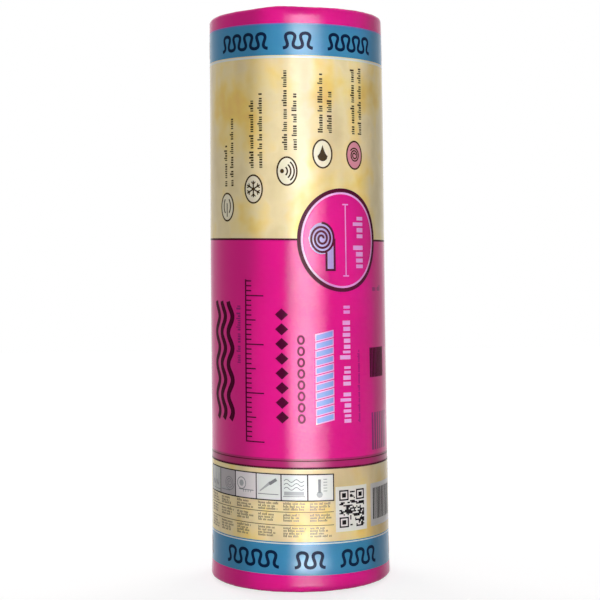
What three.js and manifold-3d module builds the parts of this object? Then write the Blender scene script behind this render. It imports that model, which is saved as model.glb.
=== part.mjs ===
// Insulation roll: a blanket of glass wool wound up tight, standing on its end in a sleeve of
// printed film whose edges are pleated and turned in over both ends of the wool.
// Millimetres, +Z up. The origin is on the ground, under the centre of the roll.

import * as THREE from 'three';
import {
  mergeGeometries, mergeVertices, toCreasedNormals,
} from 'three/addons/utils/BufferGeometryUtils.js';
import Module from 'manifold-3d';

const wasm = await Module();
wasm.setup();

// ---------------------------------------------------------------- driving dimensions

// The pack as it stands, measured over the film. Its foot has settled a little wider than its top.
const ROLL_HEIGHT = 1200;
const FOOT_RADIUS = 192.5;
const TOP_RADIUS = 184;
const FOOT_RIM_RADIUS = 9;
const TOP_RIM_RADIUS = 9;
const FOOT_BULGE = 2;
const FOOT_BULGE_HEIGHT = 60;

// The wound blanket. A crease runs in a spiral between its turns, from the bore outwards.
const BORE_RADIUS = 15;
const TURN_THICKNESS = 18;
const CREASE_WIDTH = 6;
const CREASE_DEPTH = 7;

// Around the film's edge the wool swells out of the sleeve in a rounded shoulder.
const SHOULDER_WIDTH = 10;

// The film sleeve: one sheet, closed with a lap down its side, gathered into pleats on the ends.
const FILM_THICKNESS = 0.5;
const FILM_TURN_IN = 62;
const PLEAT_COUNT = 24;
const PLEAT_HEIGHT = 2.5;
const LAP_WIDTH = 60;
const LAP_DIRECTION = THREE.MathUtils.degToRad(135);

// Fits: the film lies this near the wool, and its pleats stay this clear of the ground.
const FILM_CLEARANCE = 0.3;
const GROUND_CLEARANCE = 0.7;

// Facets.
const COLUMNS_PER_PLEAT = 3;
const RIM_STEPS = 4;
const SHOULDER_STEPS = 3;
const BULGE_STEPS = 3;
const CREASE_SAG = 0.5;
const CREASE_OVERCUT = 1;
const SMOOTH_ANGLE = THREE.MathUtils.degToRad(30);

// ---------------------------------------------------------------- worked out from them

const COLUMNS = PLEAT_COUNT * COLUMNS_PER_PLEAT;
const COLUMN_ANGLE = (2 * Math.PI) / COLUMNS;
const WOOL_INSET = FILM_THICKNESS + FILM_CLEARANCE;

// How far the film's flat turned-in edge lies back from the crests of the wool at each end.
const FILM_SETBACK = GROUND_CLEARANCE + PLEAT_HEIGHT;
const FOOT_RIM_HEIGHT = FILM_SETBACK + FOOT_RIM_RADIUS;
const TOP_RIM_HEIGHT = ROLL_HEIGHT - FILM_SETBACK - TOP_RIM_RADIUS;

// Radius over the film at a height above the ground: a straight taper and the settled foot.
function radiusAt(height) {
  const taper = THREE.MathUtils.lerp(FOOT_RADIUS, TOP_RADIUS, height / ROLL_HEIGHT);
  const above = THREE.MathUtils.clamp((height - FOOT_RIM_HEIGHT) / FOOT_BULGE_HEIGHT, 0, 1);
  return taper + FOOT_BULGE * (1 - above) ** 2;
}

const FOOT_EDGE_RADIUS = radiusAt(0) - FILM_TURN_IN;
const TOP_EDGE_RADIUS = radiusAt(ROLL_HEIGHT) - FILM_TURN_IN;

// ---------------------------------------------------------------- shared shapes

// A quarter turn of an ellipse, as profile points.
function quarter(centreRadius, centreHeight, across, up, startAngle, steps) {
  const curve = new THREE.EllipseCurve(
    centreRadius, centreHeight, across, up, startAngle, startAngle + Math.PI / 2,
  );
  return curve.getPoints(steps);
}

// Profile from the foot's rim, up the side and round the top's rim, at a depth under the outside.
function sideProfile(inset) {
  const footRim = quarter(
    radiusAt(FOOT_RIM_HEIGHT) - FOOT_RIM_RADIUS, FOOT_RIM_HEIGHT,
    FOOT_RIM_RADIUS - inset, FOOT_RIM_RADIUS - inset, -Math.PI / 2, RIM_STEPS,
  );
  const bulge = [];
  for (let step = 1; step <= BULGE_STEPS; step += 1) {
    const height = FOOT_RIM_HEIGHT + (FOOT_BULGE_HEIGHT * step) / BULGE_STEPS;
    bulge.push(new THREE.Vector2(radiusAt(height) - inset, height));
  }
  const topRim = quarter(
    radiusAt(TOP_RIM_HEIGHT) - TOP_RIM_RADIUS, TOP_RIM_HEIGHT,
    TOP_RIM_RADIUS - inset, TOP_RIM_RADIUS - inset, 0, RIM_STEPS,
  );
  return [...footRim, ...bulge, ...topRim];
}

// A profile turned about the Z axis. Film and wool share their columns, so the gap stays even.
function turned(profile) {
  const geometry = new THREE.LatheGeometry(profile, COLUMNS);
  geometry.rotateX(Math.PI / 2);
  return geometry;
}

// The geometry with only its positions left and its shared vertices merged: one closed mesh.
function closedMesh(geometry) {
  geometry.deleteAttribute('normal');
  geometry.deleteAttribute('uv');
  return mergeVertices(geometry, 1e-4);
}

function toManifold(geometry) {
  const mesh = closedMesh(geometry);
  return new wasm.Manifold(new wasm.Mesh({
    numProp: 3,
    vertProperties: new Float32Array(mesh.attributes.position.array),
    triVerts: new Uint32Array(mesh.index.array),
  }));
}

function fromManifold(manifold) {
  const mesh = manifold.getMesh();
  const geometry = new THREE.BufferGeometry();
  geometry.setAttribute('position', new THREE.BufferAttribute(mesh.vertProperties, mesh.numProp));
  geometry.setIndex(new THREE.BufferAttribute(mesh.triVerts, 1));
  return geometry;
}

function namedMesh(name, geometry, look) {
  const mesh = new THREE.Mesh(
    toCreasedNormals(geometry, SMOOTH_ANGLE),
    new THREE.MeshStandardMaterial(look),
  );
  mesh.name = name;
  return mesh;
}

// ---------------------------------------------------------------- wool roll

// The line between the turns on one end: an Archimedean spiral, from inside the bore to one turn
// short of the outside. Its points are spread so that every chord sags by the same amount.
class TurnSpiral extends THREE.Curve {
  constructor(endHeight) {
    super();
    this.endHeight = endHeight;
    this.start = (BORE_RADIUS - CREASE_WIDTH) ** 1.5;
    this.end = (radiusAt(endHeight) - WOOL_INSET - TURN_THICKNESS) ** 1.5;
  }

  get steps() {
    const rise = TURN_THICKNESS / (2 * Math.PI);
    return Math.ceil((this.end - this.start) / (1.5 * rise * Math.sqrt(8 * CREASE_SAG)));
  }

  getPoint(t, target = new THREE.Vector3()) {
    const radius = THREE.MathUtils.lerp(this.start, this.end, t) ** (2 / 3);
    const angle = (2 * Math.PI * (radius - BORE_RADIUS)) / TURN_THICKNESS;
    return target.set(radius * Math.cos(angle), radius * Math.sin(angle), this.endHeight);
  }

  // Equal steps in t, instead of equal lengths of curve.
  getUtoTmapping(u) {
    return u;
  }
}

// The crease as a solid to cut with: a V swept along the spiral, with its point into the wool.
// The sweep lays the section's x along -Z, so a crease in the foot has its V turned over.
function creaseCutter(endHeight, intoWool) {
  const spiral = new TurnSpiral(endHeight);
  const mouth = (CREASE_WIDTH / 2) * (1 + CREASE_OVERCUT / CREASE_DEPTH);
  const section = new THREE.Shape([
    new THREE.Vector2(intoWool * CREASE_DEPTH, 0),
    new THREE.Vector2(-intoWool * CREASE_OVERCUT, mouth),
    new THREE.Vector2(-intoWool * CREASE_OVERCUT, -mouth),
  ]);
  return new THREE.ExtrudeGeometry(section, { steps: spiral.steps, extrudePath: spiral });
}

// One end of the wool, from its flat crest over the shoulder to the seat of the turned-in film.
function shoulder(edgeRadius, seatHeight, crestHeight, startAngle) {
  return quarter(
    edgeRadius - FILM_CLEARANCE - SHOULDER_WIDTH, seatHeight,
    SHOULDER_WIDTH, Math.abs(seatHeight - crestHeight), startAngle, SHOULDER_STEPS,
  );
}

function woolRoll() {
  const footSeat = FILM_SETBACK + WOOL_INSET;
  const topSeat = ROLL_HEIGHT - FILM_SETBACK - WOOL_INSET;
  const boreFoot = new THREE.Vector2(BORE_RADIUS, 0);
  const boreTop = new THREE.Vector2(BORE_RADIUS, ROLL_HEIGHT);
  const profile = [
    boreFoot,
    ...shoulder(FOOT_EDGE_RADIUS, footSeat, 0, -Math.PI / 2),
    ...sideProfile(WOOL_INSET),
    ...shoulder(TOP_EDGE_RADIUS, topSeat, ROLL_HEIGHT, 0),
    boreTop,
    boreFoot,
  ];
  const roll = toManifold(turned(profile))
    .subtract(toManifold(creaseCutter(0, -1)))
    .subtract(toManifold(creaseCutter(ROLL_HEIGHT, 1)));
  return namedMesh('wool_roll', fromManifold(roll), {
    color: 0xe6d3a0,
    roughness: 0.95,
    metalness: 0,
  });
}

// ---------------------------------------------------------------- film wrap

// Share of a full second layer at an angle round the sleeve: 1 in the lap, fading over a column.
function lapCover(angle) {
  const away = Math.abs(angle - LAP_DIRECTION) / COLUMN_ANGLE;
  const halfWidth = LAP_WIDTH / 2 / (FOOT_RADIUS * COLUMN_ANGLE);
  return THREE.MathUtils.clamp(halfWidth + 1 - away, 0, 1);
}

// One face of the film: a profile turned about Z, with its edges raised into pleats. The lap adds
// its own thickness to the outer face, and none to the inner one.
function filmFace(profile, lapThickness) {
  const geometry = turned(profile);
  const position = geometry.attributes.position;
  const point = new THREE.Vector3();
  for (let index = 0; index < position.count; index += 1) {
    const place = index % profile.length;
    const column = (index - place) / profile.length;
    point.fromBufferAttribute(position, index);
    const angle = Math.atan2(point.y, point.x);
    const onEdge = profile[place].x <= Math.max(FOOT_EDGE_RADIUS, TOP_EDGE_RADIUS);
    const away = point.z > ROLL_HEIGHT / 2 ? 1 : -1;
    if (onEdge && column % COLUMNS_PER_PLEAT === 0) {
      point.z += away * PLEAT_HEIGHT;
    }
    if (!onEdge) {
      const radius = profile[place].x + lapThickness * lapCover(angle);
      point.setX(radius * Math.cos(angle)).setY(radius * Math.sin(angle));
    }
    position.setXYZ(index, point.x, point.y, point.z);
  }
  return geometry;
}

// The same face looking the other way.
function turnedOver(geometry) {
  geometry.index.array.reverse();
  return geometry;
}

// Both faces have their triangles laid alike, so the film is as thick in a pleat as beside it.
function filmWrap() {
  const profileAt = (inset) => [
    new THREE.Vector2(FOOT_EDGE_RADIUS, FILM_SETBACK + inset),
    ...sideProfile(inset),
    new THREE.Vector2(TOP_EDGE_RADIUS, ROLL_HEIGHT - FILM_SETBACK - inset),
  ];
  const outside = profileAt(0);
  const inside = profileAt(FILM_THICKNESS);
  const geometry = mergeGeometries([
    filmFace(outside, FILM_THICKNESS),
    turnedOver(filmFace(inside, 0)),
    filmFace([inside.at(0), outside.at(0)], 0),
    filmFace([outside.at(-1), inside.at(-1)], 0),
  ]);
  return namedMesh('film_wrap', closedMesh(geometry), {
    color: 0xd9128a,
    roughness: 0.3,
    metalness: 0,
  });
}

// ---------------------------------------------------------------- insulation roll

const insulationRoll = new THREE.Group();
insulationRoll.add(woolRoll(), filmWrap());

export default insulationRoll;
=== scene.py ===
import math
import random

import bpy
import numpy as np
from mathutils import Matrix, Vector, noise


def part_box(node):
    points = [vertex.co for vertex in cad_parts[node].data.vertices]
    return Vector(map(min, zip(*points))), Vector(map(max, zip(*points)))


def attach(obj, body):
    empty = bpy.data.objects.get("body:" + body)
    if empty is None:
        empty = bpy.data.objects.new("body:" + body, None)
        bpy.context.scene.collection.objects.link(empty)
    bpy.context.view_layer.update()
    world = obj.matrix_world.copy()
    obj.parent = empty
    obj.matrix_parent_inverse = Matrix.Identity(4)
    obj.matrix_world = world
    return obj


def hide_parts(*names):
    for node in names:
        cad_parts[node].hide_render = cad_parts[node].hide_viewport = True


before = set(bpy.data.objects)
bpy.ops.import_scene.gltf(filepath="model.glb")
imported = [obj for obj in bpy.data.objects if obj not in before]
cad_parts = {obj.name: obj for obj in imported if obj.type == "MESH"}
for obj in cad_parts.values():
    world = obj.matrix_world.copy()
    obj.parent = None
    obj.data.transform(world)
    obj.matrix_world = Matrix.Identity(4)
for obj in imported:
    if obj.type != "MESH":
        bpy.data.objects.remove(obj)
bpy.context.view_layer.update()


# ---- Wool blanket ----
# Six metres of glass wool blanket, squeezed to a fifth of its thickness and wound up round a
# narrow bore. Its cut edges are both ends of the roll: soft layered turns, a crease between them.

MM = 0.001
ROLL_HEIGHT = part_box("wool_roll")[1].z
FILM_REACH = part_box("film_wrap")[1].x

# The roll's outline, over its film: a straight taper, a settled foot, and a round rim at each
# end. A pair of values for both ends gives the foot's first.
TOP_RADIUS = 184 * MM
RIM = 9 * MM
FOOT_BULGE, FOOT_BULGE_HEIGHT = 2 * MM, 60 * MM
FILM_SETBACK = 3.2 * MM
FILM_TURN_IN = 62 * MM
RIM_HEIGHTS = (FILM_SETBACK + RIM, ROLL_HEIGHT - FILM_SETBACK - RIM)
RIM_SHARE = RIM_HEIGHTS[0] / ROLL_HEIGHT
FOOT_RADIUS = (FILM_REACH - FOOT_BULGE - TOP_RADIUS * RIM_SHARE) / (1 - RIM_SHARE)

# The wound wool, and how it swells inside the film's turned-in edge.
BORE_RADIUS = 15 * MM
BORE_ROUND, BORE_FALL = 2.5 * MM, 5 * MM
TURN_THICKNESS = 18 * MM
CREASE_START, CREASE_DEPTH, CREASE_SHARPNESS = math.pi / 2, 13 * MM, 4.2
CREASE_MIDDLE, CREASE_SWING = 0.85, 0.5
SHOULDER, SHOULDER_GAP = 10 * MM, 0.3 * MM
WOOL_SEAT = FILM_SETBACK + 0.8 * MM
WOOL_UNDER_FILM = 4 * MM
FILM_INSET = 0.8 * MM

# The wool's unevenness: swells to a metre, layers to a turn, and depths.
SLOW_GRAIN, LAYER_GRAIN, TUFT_GRAIN = 22, 28, 115
LAYERS_IN_TURN = 5.5
TUFT_FRACTAL = (0.9, 2.1, 4)
SOFT_DEPTH, LAYER_DEPTH, TUFT_DEPTH = 1.6 * MM, 1.7 * MM, 1.8 * MM
LEAST_DEPTH = 0.05 * MM
# How far the top's noise lies from the foot's, so that the two ends differ.
END_SHIFT, LAYER_SHIFT = 0.5, 9

COLUMNS = 480
ANGLES = 2 * math.pi * np.arange(COLUMNS) / COLUMNS
RING_STEP = 1.5 * MM
FLARE_ROWS, SIDE_ROWS, BORE_ROWS, RIM_STEPS = 5, 12, 6, 4

WOOL_TINTS = [
    (0.32, (0.76, 0.55, 0.21, 1.0)),
    (0.48, (0.92, 0.75, 0.36, 1.0)),
    (0.64, (0.95, 0.82, 0.48, 1.0)),
]
# Painted shade for the creases and the bore: the fibre's colour darkens to this one between two depths
# below either end.
WOOL_PAINTED_SHADE = (0.58, 0.40, 0.15, 1.0)
PAINTED_SHADE_FROM, PAINTED_SHADE_TO = 2.5 * MM, 11 * MM
# The grain of the wool's colour: swells to a metre, detail and roughness. Its layers change
# faster across the turns than along them.
WOOL_LAYERS, WOOL_TUFTS = (48.0, 5.0, 0.65), (210.0, 6.0, 0.72)
LAYER_SQUEEZE = 16.0

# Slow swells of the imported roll: waves round it, radians to a metre up it, and height.
SWELLS = [
    (2, 5.1, 0.26 * MM),
    (3, 7.7, 0.20 * MM),
    (5, 3.3, 0.15 * MM),
    (4, 12.9, 0.11 * MM),
    (7, 9.2, 0.08 * MM),
    (11, 4.0, 0.06 * MM),
]

# How the film's turned-in edge strays from its circle: waves round it, size, shift at the top.
LIP_WAVES = [(3, 1.7 * MM, 2.1), (8, 1.1 * MM, -0.7), (19, 0.7 * MM, 4.0)]


def roll_radius(height):
    """Radius over the film at a height, without its swells."""
    taper = FOOT_RADIUS + (TOP_RADIUS - FOOT_RADIUS) * height / ROLL_HEIGHT
    above = np.clip((height - RIM_HEIGHTS[0]) / FOOT_BULGE_HEIGHT, 0, 1)
    return taper + FOOT_BULGE * (1 - above) ** 2


# Radius of the film's turned-in edge, at both ends.
EDGES = [float(roll_radius(height)) - FILM_TURN_IN for height in (0.0, ROLL_HEIGHT)]


def side_heights(rows):
    """Heights of rows up the side, from rim to rim. They lie closer over the settled foot."""
    foot, top = RIM_HEIGHTS
    flare_top = foot + FOOT_BULGE_HEIGHT
    flare = np.linspace(foot, flare_top, FLARE_ROWS, endpoint=False)
    return [*flare, *np.linspace(flare_top, top, rows, endpoint=False)]


def rim_bend(end, steps, to_end=False):
    """Directions, out and up, that climb round the rim of end 0, the foot, or 1, the top."""
    for step in range(steps + to_end):
        turn = math.pi / 2 * step / steps
        yield (math.cos(turn), math.sin(turn)) if end else (math.sin(turn), -math.cos(turn))


def swell(angle, height):
    """Height of the swells. Each is a wave, and another of half its height that crosses it."""
    total = 0.0
    for number, (around, up, size) in enumerate(SWELLS):
        total = total + size * np.sin(around * angle + up * height + 1.7 * number)
        total = total + 0.5 * size * np.sin(around * angle - 1.6 * up * height + 2.9 * number)
    return total


def lip_wander(angle, end):
    return sum(size * np.sin(around * angle + shift * end) for around, size, shift in LIP_WAVES)


def round_roll(angle, radius, height):
    """Points at angles from the front of the roll, -Y, towards +X."""
    return np.stack([radius * np.sin(angle), -radius * np.cos(angle), height + 0 * angle], -1)


def grid_faces(rows, columns, closed):
    """Faces between rows of points. A closed grid is a ring, joined up both ways."""
    faces = []
    for row in range(rows if closed else rows - 1):
        start, above = row * columns, (row + 1) % rows * columns
        for column in range(columns if closed else columns - 1):
            beside = (column + 1) % columns
            faces.append((start + column, start + beside, above + beside, above + column))
    return faces


def new_piece(name, points, faces, sharp_over=None):
    mesh = bpy.data.meshes.new(name)
    mesh.from_pydata(np.asarray(points).tolist(), [], faces)
    mesh.shade_smooth()
    if sharp_over:
        mesh.set_sharp_from_angle(angle=math.radians(sharp_over))
    piece = bpy.data.objects.new(name, mesh)
    bpy.context.scene.collection.objects.link(piece)
    return piece


def wool_relief(radius, end):
    """Depth of the wool under its crest, all round at one radius of one end."""
    turned = (radius - BORE_RADIUS) / TURN_THICKNESS - (ANGLES - CREASE_START) / (2 * math.pi)
    share = turned - np.floor(turned)
    fall = np.abs(2 * share - 1) ** CREASE_SHARPNESS
    depth = np.empty(COLUMNS)
    for column, (x, y, z) in enumerate(round_roll(ANGLES, radius, END_SHIFT * end)):
        place = Vector((x, y, z))
        layer_at = LAYERS_IN_TURN * share[column] + LAYER_SHIFT * end
        layer = Vector((x * LAYER_GRAIN, y * LAYER_GRAIN, layer_at))
        tufts = noise.fractal(place * TUFT_GRAIN, *TUFT_FRACTAL)
        soft = SOFT_DEPTH + LAYER_DEPTH * noise.noise(layer) + TUFT_DEPTH * tufts
        crease = CREASE_DEPTH * (CREASE_MIDDLE + CREASE_SWING * noise.noise(place * SLOW_GRAIN))
        depth[column] = soft * (1 - fall[column]) + crease * fall[column]
    shoulder_start = EDGES[end] + lip_wander(ANGLES, end) - SHOULDER - SHOULDER_GAP
    near_edge = np.clip((radius - shoulder_start) / SHOULDER, 0, 0.999)
    rolled = WOOL_SEAT * (1 - np.sqrt(1 - near_edge**2))
    depth = np.maximum(depth, LEAST_DEPTH) * (1 - near_edge) + rolled
    return depth + BORE_FALL * math.exp(-(radius - BORE_RADIUS) / BORE_ROUND)


def wool_turns():
    """The rows of the wool: up the outside, in over the top, down the bore, out over the foot."""
    rows = []

    def plain_row(radius, height, outward=0.0):
        rows.append((radius + outward * swell(ANGLES, height), height))

    def rim_rows(end):
        centre, reach = RIM_HEIGHTS[end], RIM - FILM_INSET
        for out, up in rim_bend(end, RIM_STEPS, to_end=True):
            plain_row(roll_radius(centre) - RIM + reach * out, centre + reach * up, out)

    def face_rows(end):
        rings = range(round((EDGES[end] + WOOL_UNDER_FILM - BORE_RADIUS) / RING_STEP) + 1)
        for number in rings[::-1] if end else rings:
            radius = BORE_RADIUS + RING_STEP * number
            depth = wool_relief(radius, end)
            rows.append((radius, ROLL_HEIGHT - depth if end else depth))

    rim_rows(0)
    for height in side_heights(SIDE_ROWS)[1:]:
        plain_row(roll_radius(height) - FILM_INSET, height, 1.0)
    rim_rows(1)
    face_rows(1)
    for step in range(1, BORE_ROWS):
        plain_row(BORE_RADIUS, ROLL_HEIGHT * (1 - step / BORE_ROWS))
    face_rows(0)
    points = np.concatenate([round_roll(ANGLES, radius, height) for radius, height in rows])
    return points, grid_faces(len(rows), COLUMNS, closed=True)


def new_finish(name):
    """A material, its node tree and its shader."""
    finish = bpy.data.materials.new(name)
    finish.use_nodes = True
    return finish, finish.node_tree, finish.node_tree.nodes["Principled BSDF"]


def set_inputs(tree, node, inputs):
    """Gives each input its value, or links it to another node's output."""
    for name, value in inputs.items():
        if isinstance(value, bpy.types.NodeSocket):
            tree.links.new(value, node.inputs[name])
        else:
            node.inputs[name].default_value = value


def add_node(tree, kind, inputs, **settings):
    """Adds a node and gives its outputs."""
    node = tree.nodes.new("ShaderNode" + kind)
    for name, value in settings.items():
        setattr(node, name, value)
    set_inputs(tree, node, inputs)
    return node.outputs


def worked(tree, operation, *values):
    return add_node(tree, "Math", dict(enumerate(values)), operation=operation)["Value"]


def mixed(tree, kind, share, first, second):
    inputs = {"Factor": share, "A": first, "B": second}
    return add_node(tree, "Mix", inputs, data_type=kind)["Result"]


def ranged(tree, value, low, high, to_low=0.0, to_high=1.0):
    """A value taken from one range into another, and held inside it."""
    inputs = {"Value": value, "From Min": low, "From Max": high, "To Min": to_low, "To Max": to_high}
    return add_node(tree, "MapRange", inputs)["Result"]


def cloudiness(tree, place, swells, detail, roughness=0.5):
    """Noise with so many swells to a metre."""
    inputs = {"Vector": place, "Scale": swells, "Detail": detail, "Roughness": roughness}
    return add_node(tree, "TexNoise", inputs)["Fac"]


def colour_ramp(tree, share, stops, stepped=False):
    node = tree.nodes.new("ShaderNodeValToRGB")
    node.color_ramp.interpolation = "CONSTANT" if stepped else "LINEAR"
    elements = node.color_ramp.elements
    for number, (position, colour) in enumerate(stops):
        element = elements[number] if number < 2 else elements.new(position)
        element.position = position
        element.color = colour
    tree.links.new(share, node.inputs["Fac"])
    return node.outputs["Color"]


def glass_wool():
    """Matt cream-yellow fibre: fine layers that run along the turns, tufts, and painted shade that darkens
    the creases.
    """
    finish, tree, shader = new_finish("glass_wool")
    place = add_node(tree, "TexCoord", {})["Object"]
    x, y, z = add_node(tree, "SeparateXYZ", {"Vector": place})
    flat = add_node(tree, "CombineXYZ", {"X": x, "Y": y})["Vector"]
    reach = add_node(tree, "VectorMath", {0: flat}, operation="LENGTH")["Value"]
    across = worked(tree, "MULTIPLY", reach, LAYER_SQUEEZE)
    layered = add_node(tree, "CombineXYZ", {"X": x, "Y": y, "Z": across})["Vector"]
    layers = cloudiness(tree, layered, *WOOL_LAYERS)
    tufts = cloudiness(tree, place, *WOOL_TUFTS)
    fibre = mixed(tree, "FLOAT", 0.5, layers, tufts)
    tint = colour_ramp(tree, fibre, WOOL_TINTS)
    # Painted shade: fibre deep in a crease or in the bore is painted darker, whichever end it is at.
    from_middle = worked(tree, "ABSOLUTE", worked(tree, "SUBTRACT", z, ROLL_HEIGHT / 2))
    shade = ranged(tree, from_middle, ROLL_HEIGHT / 2 - PAINTED_SHADE_TO, ROLL_HEIGHT / 2 - PAINTED_SHADE_FROM)
    bump = {"Strength": 0.9, "Distance": 1.8 * MM, "Height": fibre}
    set_inputs(tree, shader, {
        "Base Color": mixed(tree, "RGBA", shade, WOOL_PAINTED_SHADE, tint),
        "Normal": add_node(tree, "Bump", bump)["Normal"],
        "Roughness": 0.95,
        "Sheen Weight": 0.3,
        "Sheen Roughness": 0.5,
        "Specular IOR Level": 0.2,
    })
    return finish


wool_blanket = new_piece("wool_blanket", *wool_turns())
wool_blanket.data.materials.append(glass_wool())
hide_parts("wool_roll")
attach(wool_blanket, "root")


# ---- Film sleeve ----
# Polythene film a tenth of a millimetre thick, printed in wide bands and shrunk tight round the
# roll. Its ends are gathered into pleats and turned in, and their edges press into the wool.

# It is modelled thicker than the real film, like the solid that it stands for.
FILM_THICKNESS = 0.5 * MM
FLATS = (FILM_SETBACK, ROLL_HEIGHT - FILM_SETBACK)
# Rows of the mesh, on its outer and inner side: over a flat end, a rim, and the side.
OUTER_ROWS, INNER_ROWS = (14, 8, 100), (5, 4, 14)
INNER_MAP_SHARE = 0.06
MAP_LEAST_STEP, MAP_MARGIN = 0.5 * MM, 0.002

# Main pleats and small ones take turns: least and most height, as a share, and width, in pitches.
PLEATS = 24
PLEAT_HEIGHT = 2.16 * MM
PLEAT_SLANT = (0.02, 0.20)
PLEAT_FOLD, PLEAT_EASE, PLEAT_CLIMB = 0.14, 1.4, 0.7
MAIN_PLEAT = (0.6, 1.0), (1.1, 1.9)
SMALL_PLEAT = (0.15, 0.5), (0.4, 0.9)
# Between them the film puckers, its sides are drawn in, and one stretch of the top lies slack.
PUCKER, PUCKERS, PUCKER_FADE = 0.35 * MM, (61, 97), 0.6
GATHER_HEIGHT, GATHER_REACH, GATHER_PUCKER = 0.5 * MM, 55 * MM, 0.3
SLACK_AT, SLACK_WIDTH = math.radians(-12), math.radians(13)
SLACK_HEIGHT, SLACK_REACH = 3.0 * MM, 0.25
# Rows of the curled edge: distance past the turned-in film's edge, and depth in the wool.
EDGE_CURL = [(0.9 * MM, 1.8 * MM), (-0.2 * MM, 0.72 * MM)]

# The print's bands: where each starts over the foot, and its colour.
MAGENTA = (0.76, 0.005, 0.245, 1.0)
BLUE = (0.045, 0.25, 0.46, 1.0)
CREAM = (0.80, 0.69, 0.45, 1.0)
DULL_MAGENTA = (0.44, 0.015, 0.14, 1.0)
BANDS = [
    (0, MAGENTA),
    (36, BLUE),
    (104, CREAM),
    (258.5, DULL_MAGENTA),
    (273.5, MAGENTA),
    (725.5, CREAM),
    (1095, BLUE),
    (1162, MAGENTA),
]
PRINT_LENGTH = 1250
CREAM_PATCHES = [
    (0.26, (0.68, 0.52, 0.27, 1.0)),
    (0.38, (0.80, 0.65, 0.36, 1.0)),
    (0.48, (0.88, 0.73, 0.42, 1.0)),
    (0.55, (0.91, 0.71, 0.30, 1.0)),
    (0.62, (0.91, 0.64, 0.17, 1.0)),
    (0.70, (0.87, 0.53, 0.16, 1.0)),
]
CREAM_TAN = (0.55, 0.38, 0.18, 1.0)
# The cream print's clouds, streaks and tan blots: swells to a metre, detail and roughness.
CREAM_CLOUDS, CREAM_STREAKS, CREAM_BLOTS = (9.5, 3.0, 0.55), (17.0, 2.0), (6.5, 3.0)
STREAK_SHARE, STREAK_STRETCH = 0.35, 0.22
BLOT_FROM, BLOT_TO, BLOT_SHARE = 0.50, 0.72, 0.75

# The sheet is printed slightly askew, and drifts as it goes round from lap to lap.
PRINT_TILT = 2.9 * MM
PRINT_DRIFT = 4.0 * MM
LAP_ANGLE = math.radians(-135)

# The film's dents, wide ones and fine ones: swells to a metre, detail, depth and strength.
DENTS = [(9.0, 2.0, 6 * MM, 0.22), (75.0, 4.0, 0.7 * MM, 0.16)]
DENT_STRETCH = 0.3
FILM_ROUGHNESS = 0.08
FILM_INDEX = 1.2
FILM_GLOSS = 0.5


def pleat_fan(seed):
    """The pleats of one end: the angle, slant, height and width of each."""
    draw = random.Random(seed)
    fan = []
    for number in range(2 * PLEATS):
        heights, widths = SMALL_PLEAT if number % 2 else MAIN_PLEAT
        angle = math.pi * (number + draw.uniform(-0.5, 0.5)) / PLEATS
        slant = draw.uniform(*PLEAT_SLANT)
        height = draw.uniform(*heights)
        fan.append((angle, slant, height, math.pi / PLEATS * draw.uniform(*widths)))
    return fan


FANS = (pleat_fan(3), pleat_fan(8))


def turned_from(angle, start):
    """The shorter way round from one angle to another."""
    return (angle - start + math.pi) % (2 * math.pi) - math.pi


def pleat_rise(end, angle, inward):
    """Height of the pleats, 0 to 1, at a share of the way in from the rim."""
    rise = np.zeros_like(angle)
    for at, slant, height, width in FANS[end]:
        away = turned_from(angle, at + slant * inward)
        steep = np.clip(1 + away / (PLEAT_FOLD * width), 0, 1)
        gentle = np.clip(1 - away / width, 0, 1)
        rise = np.maximum(rise, height * np.where(away < 0, steep, gentle**PLEAT_EASE))
    return rise


def puckers(angle, end):
    return PUCKER * (np.sin(PUCKERS[0] * angle + 3 * end) + np.sin(PUCKERS[1] * angle + 1.0)) / 2


def gathers(angle, height):
    """Lift of the film's side near both ends, where it is drawn in between the pleats."""
    end = height > ROLL_HEIGHT / 2
    gap = np.minimum(height, ROLL_HEIGHT - height)
    near_end = np.clip(1 - gap / GATHER_REACH, 0, None) ** 2
    rise = np.where(end, pleat_rise(1, angle, 0.0), pleat_rise(0, angle, 0.0))
    return near_end * (GATHER_HEIGHT * (rise - 1) + GATHER_PUCKER * puckers(angle, end))


def film_meridian(inset):
    """Rows of the sleeve from the foot's edge to the top's: (radius, height, outward, inward)."""
    flat_rows, rim_rows, side_rows = INNER_ROWS if inset else OUTER_ROWS
    curl_rows = [] if inset else EDGE_CURL
    centres = [roll_radius(height) - RIM for height in RIM_HEIGHTS]
    rows = []

    def flat_row(end, inward, past=0.0, depth=0.0):
        up = (-1, 1)[end]
        radius = centres[end] + (EDGES[end] - centres[end]) * inward + past
        rows.append((radius, FLATS[end] - up * depth, (0, up), inward))

    def rim(end):
        for out, up in rim_bend(end, rim_rows):
            rows.append((centres[end] + RIM * out, RIM_HEIGHTS[end] + RIM * up, (out, up), 0.0))

    for curl in curl_rows:
        flat_row(0, 1.0, *curl)
    for step in range(flat_rows):
        flat_row(0, 1 - step / flat_rows)
    rim(0)
    for height in side_heights(side_rows):
        rows.append((roll_radius(height), height, (1, 0), 0.0))
    rim(1)
    for step in range(flat_rows + 1):
        flat_row(1, step / flat_rows)
    for curl in curl_rows[::-1]:
        flat_row(1, 1.0, *curl)
    return [(radius - inset * outward[0], height - inset * outward[1], outward, inward)
            for radius, height, outward, inward in rows]


def film_lift(height, outward, inward, end):
    """Pleats, puckers and gathers of the film, and the roll's swells, along its own normal."""
    lift = pleat_rise(end, ANGLES, inward) * PLEAT_HEIGHT * inward**PLEAT_CLIMB
    lift = lift + 0.5 * (puckers(ANGLES, end) + PUCKER) * inward * (1 - PUCKER_FADE * inward)
    lift = lift + (1 - inward) * gathers(ANGLES, height)
    slack = SLACK_HEIGHT * np.exp(-((turned_from(ANGLES, SLACK_AT) / SLACK_WIDTH) ** 2))
    lift = lift + end * max(outward[1], 0) ** 2 * slack * math.exp(-((inward / SLACK_REACH) ** 2))
    return lift + outward[0] * swell(ANGLES, height)


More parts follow.
